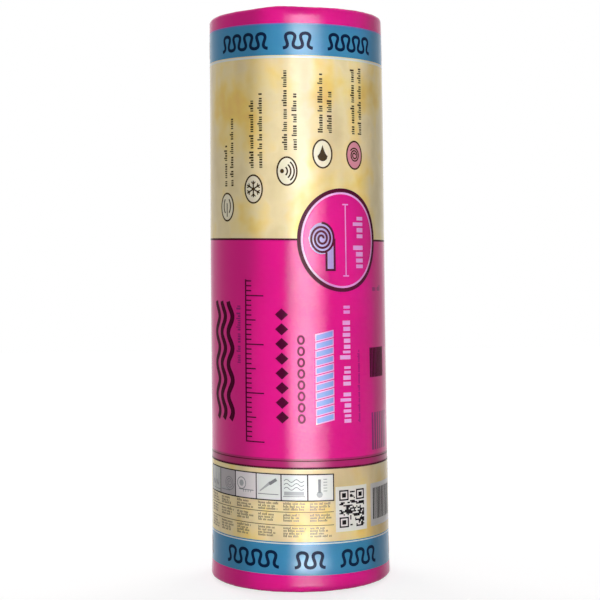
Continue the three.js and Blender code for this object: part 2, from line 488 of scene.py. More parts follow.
def film_rows():
    """The sleeve's points, outer side then inner, and the radius and height of each row."""
    points, section = [], []
    outer = film_meridian(0.0)
    for radius, height, outward, inward in outer + film_meridian(FILM_THICKNESS)[::-1]:
        end = int(height > ROLL_HEIGHT / 2)
        lift = film_lift(height, outward, inward, end)
        around = radius + outward[0] * lift + lip_wander(ANGLES, end) * inward**2
        points.append(round_roll(ANGLES, around, height + outward[1] * lift))
        section.append((radius, height))
    return np.concatenate(points), section, len(outer)


def spread_map(piece, section, outer_count):
    """A map of the film laid flat: round the roll across, and along its section up."""
    steps = np.hypot(*np.diff(section + section[:1], axis=0).T)
    steps[outer_count - 1:] *= INNER_MAP_SHARE
    along = np.concatenate([[0.0], np.cumsum(steps + MAP_LEAST_STEP)])
    along /= along[-1]
    columns = np.arange(COLUMNS)[None, :, None] / COLUMNS
    places = np.empty((len(section), COLUMNS, 4, 2))
    places[:, :, (0, 3), 0] = columns
    places[:, :, (1, 2), 0] = columns + 1 / COLUMNS
    places[:, :, (0, 1), 1] = along[:-1, None, None]
    places[:, :, (2, 3), 1] = along[1:, None, None]
    layer = piece.data.uv_layers.new(name="OFBake")
    layer.data.foreach_set("uv", (MAP_MARGIN + (1 - 2 * MAP_MARGIN) * places).ravel())


def drawn_out(tree, place, share):
    """The same places with this share of their height, so that noise is drawn out up the roll."""
    return add_node(tree, "Mapping", {"Vector": place, "Scale": (1.0, 1.0, share)})["Vector"]


def film_wrinkles():
    """Shared by the film and its inks: shallow dents and fine creases, as a normal."""
    group = bpy.data.node_groups.new("film_wrinkles", "ShaderNodeTree")
    group.interface.new_socket("Normal", in_out="OUTPUT", socket_type="NodeSocketVector")
    place = drawn_out(group, add_node(group, "TexCoord", {})["Object"], DENT_STRETCH)
    # Each bump starts from the normal of the one before.
    bump = {}
    for swells, detail, depth, strength in DENTS:
        dents = cloudiness(group, place, swells, detail)
        bump.update({"Height": dents, "Distance": depth, "Strength": strength})
        bump["Normal"] = add_node(group, "Bump", bump)["Normal"]
    set_inputs(group, group.nodes.new("NodeGroupOutput"), {"Normal": bump["Normal"]})
    return group


WRINKLES = film_wrinkles()


def film_finish(name, gloss=FILM_GLOSS):
    """A semi-gloss film without its colour."""
    finish, tree, shader = new_finish(name)
    set_inputs(tree, shader, {
        "Normal": add_node(tree, "Group", {}, node_tree=WRINKLES)["Normal"],
        "Roughness": FILM_ROUGHNESS,
        "IOR": FILM_INDEX,
        "Specular IOR Level": gloss,
    })
    return finish, tree, shader


def banded_film(name, turn_from):
    """The sleeve's own print. turn_from is the angle at which the sheet's way round starts."""
    finish, tree, shader = film_finish(name)
    place = add_node(tree, "TexCoord", {})["Object"]
    x, y, z = add_node(tree, "SeparateXYZ", {"Vector": place})
    angle = worked(tree, "ARCTAN2", x, worked(tree, "MULTIPLY", y, -1.0))
    past = worked(tree, "LESS_THAN", angle, turn_from)
    turned = worked(tree, "MULTIPLY_ADD", past, 2 * math.pi, angle)
    tilted = worked(tree, "MULTIPLY_ADD", worked(tree, "SINE", angle), PRINT_TILT, z)
    height = worked(tree, "MULTIPLY_ADD", turned, PRINT_DRIFT / (2 * math.pi), tilted)
    share = worked(tree, "DIVIDE", height, PRINT_LENGTH * MM)
    stops = [(start / PRINT_LENGTH, colour) for start, colour in BANDS]
    bands = colour_ramp(tree, share, stops, stepped=True)
    cream_stops = [(start, (float(colour == CREAM),) * 3 + (1.0,)) for start, colour in stops]
    is_cream = colour_ramp(tree, share, cream_stops, stepped=True)
    # The cream print is cloudy: soft warm patches, paler streaks that run up the roll, tan blots.
    upward = drawn_out(tree, place, STREAK_STRETCH)
    clouds = cloudiness(tree, place, *CREAM_CLOUDS)
    streaks = cloudiness(tree, upward, *CREAM_STREAKS)
    patches = colour_ramp(tree, mixed(tree, "FLOAT", STREAK_SHARE, clouds, streaks), CREAM_PATCHES)
    blots = ranged(tree, cloudiness(tree, upward, *CREAM_BLOTS), BLOT_FROM, BLOT_TO, 0.0, BLOT_SHARE)
    cloudy = mixed(tree, "RGBA", blots, patches, CREAM_TAN)
    set_inputs(tree, shader, {"Base Color": mixed(tree, "RGBA", is_cream, bands, cloudy)})
    return finish


film_points, film_section, outer_row_count = film_rows()
film_faces = grid_faces(len(film_section), COLUMNS, closed=True)
film_sleeve = new_piece("film_sleeve", film_points, film_faces, sharp_over=50)
spread_map(film_sleeve, film_section, outer_row_count)
film_sleeve.data.materials.append(banded_film("banded_film", LAP_ANGLE))
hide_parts("film_wrap")
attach(film_sleeve, "root")


# ---- Film lap ----
# The sheet's outer edge, which laps sixty millimetres over its inner one at the back of the roll
# and is welded down along two lines.

LAP_WIDTH, LAP_WAVES = 60 * MM, [(17, 1.0 * MM), (41, 0.6 * MM)]
LAP_STEP, LAP_BASE, LAP_CLIMB = 0.45 * MM, 0.12 * MM, 6
LAP_START = LAP_ANGLE - 4 * MM / TOP_RADIUS
LAP_ROWS, LAP_COLUMNS = 150, 24
EDGE_TUCK, EDGE_SHARE = 0.3 * MM, 0.2
WELDS_AT, WELD_WIDTH, WELD_DEPTH = (0.28, 0.86), 0.022, 0.22 * MM


def side_surface(angle, height, lift):
    """Points at a lift over the side of the sleeve, and the sleeve's unit normals there."""

    def swollen(at_angle, at_height):
        return roll_radius(at_height) + swell(at_angle, at_height)

    step = 0.5 * MM
    radius = swollen(angle, height)
    lean = (swollen(angle, height + step) - swollen(angle, height - step)) / (2 * step)
    skew = (swollen(angle + step, height) - swollen(angle - step, height)) / (2 * step) / radius
    facing = round_roll(angle, 1.0, 0.0) - round_roll(angle + math.pi / 2, skew, 0.0)
    facing[..., 2] = -lean
    facing /= np.linalg.norm(facing, axis=-1, keepdims=True)
    return round_roll(angle, radius + gathers(angle, height) + lift, height), facing


def lap_strip():
    share, height = np.meshgrid(np.linspace(0, 1, LAP_COLUMNS), np.linspace(*RIM_HEIGHTS, LAP_ROWS))
    width = LAP_WIDTH + sum(size * np.sin(up * height) for up, size in LAP_WAVES)
    lift = LAP_BASE + (LAP_STEP - LAP_BASE) * np.clip(share * LAP_CLIMB, 0, 1)
    for weld in WELDS_AT:
        lift = lift - WELD_DEPTH * np.exp(-(((share - weld) / WELD_WIDTH) ** 2))
    lift[:, (0, -1)] = -EDGE_TUCK
    share[:, -1] = share[:, -2] + EDGE_SHARE / LAP_COLUMNS
    points, _ = side_surface(LAP_START + share * width / TOP_RADIUS, height, lift)
    return points.reshape(-1, 3), grid_faces(LAP_ROWS, LAP_COLUMNS, closed=False)


film_lap = new_piece("film_lap", *lap_strip(), sharp_over=35)
film_lap.data.materials.append(banded_film("lapped_film", math.pi))
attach(film_lap, "root")


# ---- Band lines ----
# Narrow printed lines that finish the bands: plum ones round the magenta panel, pale ones where
# cream meets blue, and a lavender one near the top. They are ink, laid flat on the film.

INK_LIFT, INK_LAYER = 0.10 * MM, 0.07 * MM
# From here on the print is drawn in millimetres: across from the front, and up from the foot.
INK_WIDE, INK_TALL, LEAST_HEIGHT = 6.0, 40.0, 0.05
PRINT_RADIUS = 187.0
SHEET_START = LAP_ANGLE * PRINT_RADIUS
SHEET_END = SHEET_START + 2 * math.pi * PRINT_RADIUS
LAPPED_FROM, LAPPED_TO = SHEET_END - 2.0, SHEET_END + 55.0
PLUM = (0.085, 0.006, 0.025, 1.0)
PALE_LINE = (0.74, 0.76, 0.72, 1.0)
LAVENDER_LINE = (0.17, 0.17, 0.50, 1.0)
DARK_GLOSS = 0.06
LINE_PIECE = 4.0
# Each ink's lines: the band that starts there, and the line's width.
PLUM_LINES = [(3, 4.0), (4, 2.0), (5, 4.0)]
PALE_LINES = [(2, 2.5), (6, 4.0)]
LAVENDER_LINES = [(7, 2.5)]


def filled(left, right, lower, upper, piece=INK_WIDE):
    """A filled shape between two edges of the print, in pieces small enough to follow the roll."""
    across = max(1, math.ceil((right - left) / piece))
    reach = [left + (right - left) * number / across for number in range(across + 1)]
    up = max(1, math.ceil(max(upper(place) - lower(place) for place in reach) / INK_TALL))
    points, columns = [], []
    for place in reach:
        low, high = lower(place), upper(place)
        start = len(points)
        if high - low < LEAST_HEIGHT:
            points.append((place, (low + high) / 2))
            columns.append([start] * (up + 1))
        else:
            points += [(place, low + (high - low) * row / up) for row in range(up + 1)]
            columns.append([start + row for row in range(up + 1)])
    faces = []
    for column, beside in zip(columns, columns[1:]):
        for row in range(up):
            corners = (column[row], beside[row], beside[row + 1], column[row + 1])
            faces.append(tuple(dict.fromkeys(corners)))
    return points, faces


def panel(left, low, right, high, piece=INK_WIDE):
    return filled(left, right, lambda _: low, lambda _: high, piece)


def ink_finish(name, colour, gloss=FILM_GLOSS):
    finish, _, shader = film_finish(name, gloss)
    shader.inputs["Base Color"].default_value = colour
    return finish


def print_drop(angle):
    """How far the print lies under its own height, at an angle from the front."""
    return PRINT_TILT * np.sin(angle) + PRINT_DRIFT * angle / (2 * math.pi)


def lay_print(name, inks, repeats=(0.0,), over=0.0):
    """One printed piece. inks lists (finish, layer over the film, shapes)."""
    points, lifts, faces, finish_of_face = [], [], [], []
    for number, (_, layer, shapes) in enumerate(inks):
        for shift in repeats:
            for shape_points, shape_faces in shapes:
                start = len(points)
                points += [(across + shift, up) for across, up in shape_points]
                lifts += [over + INK_LIFT + layer * INK_LAYER] * len(shape_points)
                faces += [tuple(start + corner for corner in face) for face in shape_faces]
                finish_of_face += [number] * len(shape_faces)
    flat = np.array(points, float)
    angle = flat[:, 0] / PRINT_RADIUS
    height = flat[:, 1] * MM - print_drop(angle)
    places, facing = side_surface(angle, height, np.array(lifts))
    piece = new_piece(name, places, faces)
    piece.data.polygons.foreach_set("material_index", finish_of_face)
    piece.data.normals_split_custom_set_from_vertices(facing.tolist())
    for finish, _, _ in inks:
        piece.data.materials.append(finish)
    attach(piece, "root")


def band_lines(start, end):
    """The lines along every band, over one stretch of the sheet."""

    def drawn(lines):
        return [panel(start, BANDS[band][0] - width / 2, end, BANDS[band][0] + width / 2, LINE_PIECE)
                for band, width in lines]

    return [
        (plum_ink, 0, drawn(PLUM_LINES)),
        (pale_ink, 0, drawn(PALE_LINES)),
        (lavender_ink, 0, drawn(LAVENDER_LINES)),
    ]


plum_ink = ink_finish("plum_ink", PLUM, DARK_GLOSS)
pale_ink = ink_finish("pale_ink", PALE_LINE)
lavender_ink = ink_finish("lavender_ink", LAVENDER_LINE)
lay_print("band_lines", band_lines(SHEET_START, SHEET_END))
lay_print("lapped_lines", band_lines(LAPPED_FROM, LAPPED_TO), over=LAP_STEP)


# ---- Looped borders ----
# Loops of navy ink printed along both blue bands, in the way that a drawing shows insulation:
# one ribbon that swings from edge to edge.

NAVY = (0.004, 0.018, 0.05, 1.0)
LOOP_PITCH, LOOP_LEAN, LOOP_STROKE = 31.0, 5.2, 6.6
TURN_STEPS, SHARPEST_TURN = 28, 0.5
TOP_RUNS = [(-356, -262), (-178, -58), (-26, 36), (68, 182), (268, 360), (392, 520), (552, 700)]
FOOT_RUNS = [(-350, -250), (-172, -44), (-12, 50), (82, 178), (262, 374), (406, 500), (532, 700)]
# Each border: its runs of loops, the height of their middle, and how tall they are.
BORDERS = {"top_loops": (TOP_RUNS, 1128.0, 30.0), "foot_loops": (FOOT_RUNS, 70.5, 31.0)}


def followed(path, closed):
    """The same path with its long runs cut up, so that a line along it follows the roll."""
    ends = path[1:] + path[:1] if closed else path[1:]
    spots = []
    for start, end in zip(path, ends):
        start, end = Vector(start), Vector(end)
        pieces = max(1, math.ceil(abs(end.x - start.x) / INK_WIDE))
        spots += [start.lerp(end, number / pieces) for number in range(pieces)]
    return spots if closed else spots + [Vector(path[-1])]


def stroke(path, width, closed=False):
    """A line of even width along a path of points."""
    spots = followed(list(path), closed)
    count = len(spots)
    lanes = max(1, math.ceil(width / INK_WIDE))
    points = []
    for number, spot in enumerate(spots):
        before = spots[number - 1] if closed or number > 0 else None
        after = spots[(number + 1) % count] if closed or number < count - 1 else None
        arriving = (spot - before).normalized() if before else (after - spot).normalized()
        leaving = (after - spot).normalized() if after else arriving
        along = (arriving + leaving).normalized()
        side = Vector((along.y, -along.x)) * width / 2 / max(SHARPEST_TURN, along.dot(leaving))
        points += [tuple(spot + side * (1 - 2 * lane / lanes)) for lane in range(lanes + 1)]
    faces = []
    for number in range(count if closed else count - 1):
        start, end = number * (lanes + 1), (number + 1) % count * (lanes + 1)
        for lane in range(lanes):
            faces.append((start + lane, end + lane, end + lane + 1, start + lane + 1))
    return points, faces


def loops(left, right, middle, tall):
    """A looped ribbon between two places on a band."""
    count = round((right - left) / LOOP_PITCH)
    pitch = (right - left) / count
    path = []
    for step in range(count * TURN_STEPS + 1):
        turn = 2 * math.pi * step / TURN_STEPS
        across = left + pitch * turn / (2 * math.pi) + LOOP_LEAN * math.sin(2 * turn)
        path.append((across, middle - tall / 2 * math.cos(turn)))
    return stroke(path, LOOP_STROKE)


navy_ink = ink_finish("navy_ink", NAVY, DARK_GLOSS)
for name, (runs, middle, tall) in BORDERS.items():
    lay_print(name, [(navy_ink, 0, [loops(left, right, middle, tall) for left, right in runs])])


# ---- Panel motifs ----
# The magenta panel's print: columns of plain motifs, dark ones to the left and pale ones to the
# right. All but the marks at its right-hand side come again nearly half-way round the sleeve.

DEEP_PURPLE = (0.078, 0.001, 0.026, 1.0)
FAINT_PURPLE = (0.27, 0.004, 0.15, 1.0)
MULBERRY = (0.20, 0.002, 0.075, 1.0)
POWDER_BLUE = (0.25, 0.36, 0.76, 1.0)
PALE_PINK = (0.84, 0.40, 0.76, 1.0)
COLUMNS_STAND = 350.0
WAVES_AT, WAVES_TOP, WAVE_STROKE = (-206, -182, -158), 596.0, 12.5
WAVE_SWAY, WAVE_LENGTH, WAVE_PIECE = 7.0, 66.0, 5.0
SCALE_LEFT, SCALE_LOW, SCALE_TOP, SCALE_LINE = -112.0, 310.0, 642.0, 3.5
TICK_REACH, TICK_PITCH, TICK_STROKE = (40.0, 22.0, 12.0), 10.0, 2.8
LOZENGES, LOZENGES_AT, LOZENGE_PITCH = 8, -34.0, 30.0
LOZENGE_WIDE, LOZENGE_TALL, LOZENGE_PIECE = 27.0, 25.0, 4.5
LINKS, LINKS_AT, LINK_PITCH = 8, 5.0, 23.0
LINK_WIDE, LINK_TALL, LINK_STROKE = 16.0, 20.0, 4.2
SLATS, SLATS_LEFT, SLAT_PITCH = 11, 36.0, 17.0
SLAT_WIDE, SLAT_TALL, SLAT_SLANT = 35.0, 10.5, 9.0
SLAT_EDGE_WIDE, SLAT_EDGE_TALL = 2.0, 2.4
# Small print: where a line starts, across and up, and its length, size and seed.
FAINT_PRINT = [(-128.0, 470.0, 122.0, 11.0, 4), (136.0, COLUMNS_STAND, 150.0, 6.0, 5)]
PINK_PRINT = (112.0, COLUMNS_STAND, 246.0, 25.0, 9)
SIDE_PRINT = (182.0, 620.0, 40.0, 12.0, 2)
# Its letters are plain bars. Their widths, heights and gaps are shares of its size.
LETTERS_IN_WORD = (3, 8)
LETTER_WIDE, LETTER_TALL = (0.20, 0.36), (0.62, 0.62, 0.66, 0.72, 1.0)
LETTER_GAP, WORD_GAP = 0.16, 0.42
# Rows of bars at the panel's side: left end, foot, top, pitch, width and number of bars.
PALE_BARS, DARK_BARS = (172.0, 288.0, 366.0, 10.0, 6.0, 7), (168.0, 440.0, 502.0, 6.0, 5.2, 10)
REPEAT = 535.0
TWICE = (0.0, REPEAT)


def oval(centre, across, up, steps=48):
    """Points round an ellipse."""
    turns = [2 * math.pi * step / steps for step in range(steps)]
    return [(centre[0] + across * math.cos(turn), centre[1] + up * math.sin(turn)) for turn in turns]


def mirrored_shape(centre, across, half, piece):
    """A filled shape whose lower edge mirrors its upper one. half gives its half-height."""
    return filled(centre[0] - across, centre[0] + across,
                  lambda place: centre[1] - half(place), lambda place: centre[1] + half(place), piece)


def lozenge(centre, across, up):
    def half(place):
        return up * (1 - abs(place - centre[0]) / across)

    return mirrored_shape(centre, across, half, LOZENGE_PIECE)


def wave(middle, low, high, sway, length):
    steps = math.ceil((high - low) / WAVE_PIECE)
    heights = [low + (high - low) * step / steps for step in range(steps + 1)]
    return [(middle + sway * math.sin(2 * math.pi * (at - low) / length), at) for at in heights]


def tick_scale(left, low, high):
    """A ruled scale: a base line, and ticks of three lengths."""
    half = TICK_STROKE / 2
    ticks = [panel(left - SCALE_LINE, low - half, left, high + half)]
    for number in range(round((high - low) / TICK_PITCH) + 1):
        reach = TICK_REACH[0 if number % 10 == 0 else 1 if number % 5 == 0 else 2]
        at = low + TICK_PITCH * number
        ticks.append(panel(left, at - half, left + reach, at + half))
    return ticks


def slats(edge_wide, edge_tall):
    """Bars that slant up to the right, with an edge of this width and height round each."""
    left, wide = SLATS_LEFT - edge_wide, SLAT_WIDE + 2 * edge_wide

    def slanted(low):
        return lambda place: low + SLAT_SLANT * (place - left) / wide

    lows = [COLUMNS_STAND - edge_tall + SLAT_PITCH * number for number in range(SLATS)]
    return [filled(left, left + wide, slanted(low), slanted(low + SLAT_TALL + 2 * edge_tall))
            for low in lows]


def bar_row(left, low, high, pitch, wide, count):
    return [panel(left + pitch * number, low, left + pitch * number + wide, high)
            for number in range(count)]


def small_print(left, low, length, size, seed, upwards=False):
    """A line of plain marks in place of small print: words of short bars that stand on one line."""
    draw = random.Random(seed)
    shapes = []
    at = 0.0
    while at < length:
        for _ in range(draw.randint(*LETTERS_IN_WORD)):
            wide = size * draw.uniform(*LETTER_WIDE)
            tall = size * draw.choice(LETTER_TALL)
            if at + wide <= length and upwards:
                shapes.append(panel(left - tall, low + at, left, low + at + wide))
            elif at + wide <= length:
                shapes.append(panel(left + at, low, left + at + wide, low + tall))
            at += wide + LETTER_GAP * size
        at += WORD_GAP * size
    return shapes


waves = [stroke(wave(middle, COLUMNS_STAND, WAVES_TOP, WAVE_SWAY, WAVE_LENGTH), WAVE_STROKE)
         for middle in WAVES_AT]
lozenges = [lozenge((LOZENGES_AT, COLUMNS_STAND + LOZENGE_TALL / 2 + LOZENGE_PITCH * number),
                    LOZENGE_WIDE / 2, LOZENGE_TALL / 2) for number in range(LOZENGES)]
links = [oval((LINKS_AT, COLUMNS_STAND + LINK_TALL / 2 + LINK_PITCH * number),
              (LINK_WIDE - LINK_STROKE) / 2, (LINK_TALL - LINK_STROKE) / 2, 20) for number in range(LINKS)]
chain = [stroke(link, LINK_STROKE, True) for link in links]
faint_print = [shape for values in FAINT_PRINT for shape in small_print(*values, upwards=True)]
deep_purple_ink = ink_finish("deep_purple_ink", DEEP_PURPLE, DARK_GLOSS)
faint_purple_ink = ink_finish("faint_purple_ink", FAINT_PURPLE)
pale_pink_ink = ink_finish("pale_pink_ink", PALE_PINK)
lay_print("dark_motifs", [
    (deep_purple_ink, 0, waves + tick_scale(SCALE_LEFT, SCALE_LOW, SCALE_TOP) + lozenges),
    (ink_finish("mulberry_ink", MULBERRY, DARK_GLOSS), 0, chain),
    (faint_purple_ink, 0, faint_print),
], TWICE)
lay_print("pale_motifs", [
    (pale_pink_ink, 0, slats(SLAT_EDGE_WIDE, SLAT_EDGE_TALL) + small_print(*PINK_PRINT, upwards=True)),
    (ink_finish("powder_blue_ink", POWDER_BLUE), 1, slats(0.0, 0.0)),
], TWICE)
lay_print("side_motifs", [
    (faint_purple_ink, 0, small_print(*SIDE_PRINT) + bar_row(*PALE_BARS)),
    (deep_purple_ink, 0, bar_row(*DARK_BARS)),
])


# ---- Coil badge ----
# A large round badge printed over the top edge of the magenta panel. It shows a blanket that
# comes off its roll, with a dimension line and large print beside it.

LILAC = (0.46, 0.36, 0.68, 1.0)
BADGE_AT = (95.0, 725.0)
BADGE_ACROSS, BADGE_UP = 96.0, 106.0
BADGE_RIM, BADGE_LINE, BADGE_TUCK = 9.0, 4.0, 4.0
COIL_AT = (50.0, 728.0)
COIL_FIRST, COIL_PITCH, COIL_TURNS, COIL_STROKE = 4.0, 8.6, 3.25, 4.6
COIL_SQUEEZE = 0.86
COIL_REACH = COIL_FIRST + COIL_PITCH * COIL_TURNS
TAIL_LEFT, TAIL_RIGHT = COIL_AT[0] + 0.3 * COIL_REACH, COIL_AT[0] + COIL_SQUEEZE * COIL_REACH
TAIL_LOW, TAIL_LEFT_TOP, TAIL_TONE_TOP = 664.0, 700.0, 712.0
DIMENSION_AT, DIMENSION_LOW, DIMENSION_HIGH = 104.0, 652.0, 798.0
DIMENSION_END, DIMENSION_STROKE = 7.0, 2.6
BADGE_PRINT = (150.0, 668.0, 118.0, 27.0, 21)


def disc(centre, across, up, piece=INK_WIDE):
    """A filled ellipse."""

    def half(place):
        return up * math.sqrt(max(0.0, 1 - ((place - centre[0]) / across) ** 2))

    return mirrored_shape(centre, across, half, piece)


def coil(centre, first, pitch, turns, squeeze=COIL_SQUEEZE):
    """Points along a flat spiral, a little narrower than tall."""
    steps = math.ceil(turns * TURN_STEPS)
    path = []
    for step in range(steps + 1):
        turn = 2 * math.pi * turns * step / steps
        radius = first + pitch * turn / (2 * math.pi)
        path.append((centre[0] + squeeze * radius * math.cos(turn), centre[1] + radius * math.sin(turn)))
    return path


def badge_ring(inset, width):
    ring = oval(BADGE_AT, BADGE_ACROSS - inset, BADGE_UP - inset, 96)
    return [stroke(ring, width, True)]


badge_disc = disc(BADGE_AT, BADGE_ACROSS - BADGE_TUCK, BADGE_UP - BADGE_TUCK)
roll_sketch = [
    coil(COIL_AT, COIL_FIRST, COIL_PITCH, COIL_TURNS),
    [(TAIL_RIGHT, COIL_AT[1]), (TAIL_RIGHT, TAIL_LOW)],
    [(TAIL_LEFT, TAIL_LEFT_TOP), (TAIL_LEFT, TAIL_LOW)],
    [(TAIL_LEFT - COIL_STROKE / 2, TAIL_LOW), (TAIL_RIGHT + COIL_STROKE / 2, TAIL_LOW)],
]
roll_tone = [disc(COIL_AT, COIL_SQUEEZE * COIL_REACH, COIL_REACH, 4.0),
             panel(TAIL_LEFT, TAIL_LOW, TAIL_RIGHT, TAIL_TONE_TOP)]
dimension = [[(DIMENSION_AT, DIMENSION_LOW), (DIMENSION_AT, DIMENSION_HIGH)]]
for height in (DIMENSION_LOW, DIMENSION_HIGH):
    dimension.append([(DIMENSION_AT - DIMENSION_END, height), (DIMENSION_AT + DIMENSION_END, height)])
lay_print("coil_badge", [
    (ink_finish("badge_magenta_ink", MAGENTA), 1, [badge_disc]),
    (plum_ink, 2, badge_ring(BADGE_RIM / 2, BADGE_RIM)),
    (pale_pink_ink, 3, badge_ring(BADGE_RIM + 1, BADGE_LINE)),
    (ink_finish("lilac_ink", LILAC), 2, roll_tone),
    (plum_ink, 3, [stroke(path, COIL_STROKE) for path in roll_sketch]),
    (pale_pink_ink, 2, [stroke(path, DIMENSION_STROKE) for path in dimension]
     + small_print(*BADGE_PRINT, upwards=True)),
], TWICE)


# ---- Icons ----
# Five oval icons that climb across the upper cream band like stairs, each with a plain picture
# and two lines of small print that run up from it.

UMBER = (0.060, 0.034, 0.012, 1.0)
ICON_PALE = (0.84, 0.77, 0.58, 1.0)
ICON_ROSE = (0.70, 0.26, 0.33, 1.0)
ICONS_AT = [(-166.0, 792.0), (-93.0, 828.0), (-20.0, 864.0), (54.0, 900.0), (130.0, 900.0)]
ICON_ACROSS, ICON_UP, ICON_LINE = 22.0, 30.0, 3.4
# The lengths of each icon's two captions. They start a little over the icon.
CAPTIONS = [(88.0, 142.0), (138.0, 152.0), (166.0, 116.0), (120.0, 84.0), (136.0, 143.0)]
CAPTION_SIZE, CAPTION_PITCH, CAPTION_LEFT, CAPTION_GAP = 10.5, 20.0, 1.0, 13.0


def arc(centre, radius, first, last, steps=12):
    """Points along part of a circle. Angles are in degrees, from the right-hand side upwards."""
    turns = [math.radians(first + (last - first) * step / steps) for step in range(steps + 1)]
    return [(centre[0] + radius * math.cos(turn), centre[1] + radius * math.sin(turn)) for turn in turns]


def leaf(x, y):
    """A leaf on its stalk."""
    sides = [arc((x - 13, y + 2), 24, -36, 36), arc((x + 13, y + 2), 24, 144, 216)]
    return [stroke(side, 3.0) for side in sides] + [stroke([(x, y - 20), (x, y + 8)], 2.6)]


def snowflake(x, y):
    """Three crossed bars, each with a barb near both ends."""
    middle = Vector((x, y))
    shapes = []
    for number in range(6):
        turn = math.radians(30 + 60 * number)
        out = Vector((math.cos(turn), math.sin(turn)))
        side = Vector((-out.y, out.x))
        barb = [middle + 15 * out + 5 * side, middle + 10 * out, middle + 15 * out - 5 * side]
        shapes += [stroke([middle, middle + 17 * out], 3.0), stroke(barb, 2.2)]
    return shapes


def sound(x, y):
    """A source of sound, and three arcs that spread from it."""
    rings = [stroke(arc((x - 10, y), radius, -48, 48), 3.2) for radius in (11, 18, 25)]
    return [disc((x - 10, y), 4.5, 4.5, 1.5)] + rings


def drop(x, y):
    """A water drop."""

    def top(place):
        return y - 4 + 22 * (1 - abs(place - x) / 11) ** 1.7

    def bottom(place):
        return y - 4 - 11 * math.sqrt(max(0.0, 1 - ((place - x) / 11) ** 2))

    return [filled(x - 11, x + 11, bottom, top, 1.4)]


def small_coil(x, y):
    return [stroke(coil((x, y), 3.0, 5.0, 2.4), 2.8)]


pictures = [picture(*at) for picture, at in zip((leaf, snowflake, sound, drop, small_coil), ICONS_AT)]
rims = [stroke(oval(at, ICON_ACROSS - ICON_LINE / 2, ICON_UP - ICON_LINE / 2), ICON_LINE, True)
        for at in ICONS_AT]
fills = [disc(at, ICON_ACROSS - 2, ICON_UP - 2, 4.0) for at in ICONS_AT]
captions = []
for number, ((x, y), lengths) in enumerate(zip(ICONS_AT, CAPTIONS)):
    for line, length in enumerate(lengths):
        left, low = x + CAPTION_LEFT + CAPTION_PITCH * line, y + ICON_UP + CAPTION_GAP
        captions += small_print(left, low, length, CAPTION_SIZE, 31 + 2 * number + line, upwards=True)
umber_ink = ink_finish("umber_ink", UMBER, DARK_GLOSS)
lay_print("icons", [
    (ink_finish("icon_pale_ink", ICON_PALE), 0, fills[:4]),
    (ink_finish("icon_rose_ink", ICON_ROSE), 0, fills[4:]),
    (umber_ink, 1, rims + [shape for picture in pictures for shape in picture]),
], TWICE)
lay_print("icon_captions", [(umber_ink, 0, captions)], TWICE)


# ---- Fitting strip ----
# Six framed sketches printed on the lower cream band show how the blanket is laid. Under each
# stand rows of small print, in three groups with thin rules between them.

STRIP_LEFT, STRIP_LOW, STRIP_HIGH = -252.0, 192.0, 246.0
FRAME_WIDE, FRAME_LINE, SKETCH_LINE = 53.5, 2.4, 1.5
# The frames' greys, from left to right. The first two lie on the roll's darker left side and are darker
# than the rest: partly the print's grey, partly painted shade.
FRAME_GREYS_AND_SHADE = [(0.50, 0.50, 0.46, 1.0), (0.45, 0.41, 0.42, 1.0), (0.80, 0.74, 0.75, 1.0),
               (0.80, 0.80, 0.78, 1.0), (0.78, 0.79, 0.77, 1.0), (0.84, 0.83, 0.80, 1.0)]
SKETCH_GREY = (0.22, 0.22, 0.23, 1.0)
SKETCH_TONE = (0.42, 0.42, 0.43, 1.0)
FRAME_BLACK = (0.016, 0.012, 0.014, 1.0)
TAUPE = (0.20, 0.145, 0.095, 1.0)
RULES, RULE_LINE = (168.0, 141.0), 1.3
NOTE_ROWS = (184.0, 178.0, 172.5, 160.5, 155.0, 149.5, 134.0, 128.5, 123.0, 117.5)
NOTE_SIZE, NOTE_INDENT, NOTE_LENGTH = 5.3, 4.0, (0.55, 0.86)


def level(x, y, left, right, at):
    """A straight line across a sketch whose corner is at x, y."""
    return stroke([(x + left, y + at), (x + right, y + at)], SKETCH_LINE)


def wave_across(left, right, middle, sway):
    path = []
    for step in range(17):
        across = left + (right - left) * step / 16
        path.append((across, middle + sway * math.sin(4 * math.pi * (across - left) / (right - left))))
    return stroke(path, SKETCH_LINE)


# Each sketch gives its toned shapes and its lines.
def joists(x, y):
    """Three joists with the blanket between them."""
    posts = [panel(x + at, y + 8, x + at + 5, y + 40) for at in (6, 24, 42)]
    wool = [wave_across(x + at, x + at + 12, y + 20, 5) for at in (12, 30)]
    return posts, wool + [level(x, y, 2, 51, 7)]


def unrolling(x, y):
    """A roll that is being unrolled over the floor."""
    lines = [stroke(coil((x + 34, y + 26), 2.0, 4.6, 3.0, 1.0), SKETCH_LINE), level(x, y, 5, 36, 10)]
    return [panel(x + 5, y + 11, x + 34, y + 15)], lines


def tape(x, y):
    """A tape measure, drawn out over the blanket."""
    case = stroke(oval((x + 17, y + 30), 11, 12, 24), SKETCH_LINE, True)
    blade = stroke([(x + 10, y + 17), (x + 47, y + 17)], 1.6)
    ticks = [stroke([(x + at, y + 17), (x + at, y + 12)], 1.1) for at in (22, 28, 34, 40)]
    return [disc((x + 17, y + 30), 6, 6.5, 2.0)], [case, blade] + ticks


def knife(x, y):
    """A knife that cuts the blanket against a straight edge."""
    blade = filled(x + 8, x + 30, lambda place: y + 16 + 0.7 * (place - x - 8),
                   lambda place: y + 19 + 0.9 * (place - x - 8), 3.0)
    grip = stroke([(x + 29, y + 33), (x + 44, y + 43)], 6.5)
    return [blade], [grip, level(x, y, 4, 48, 12)]


def layers(x, y):
    """Two layers of blanket, laid crosswise."""
    curls = [wave_across(x + 6, x + 46, y + at, 3) for at in (25, 33, 41)]
    return [panel(x + 6, y + 11, x + 46, y + 19)], curls + [level(x, y, 4, 48, 9)]


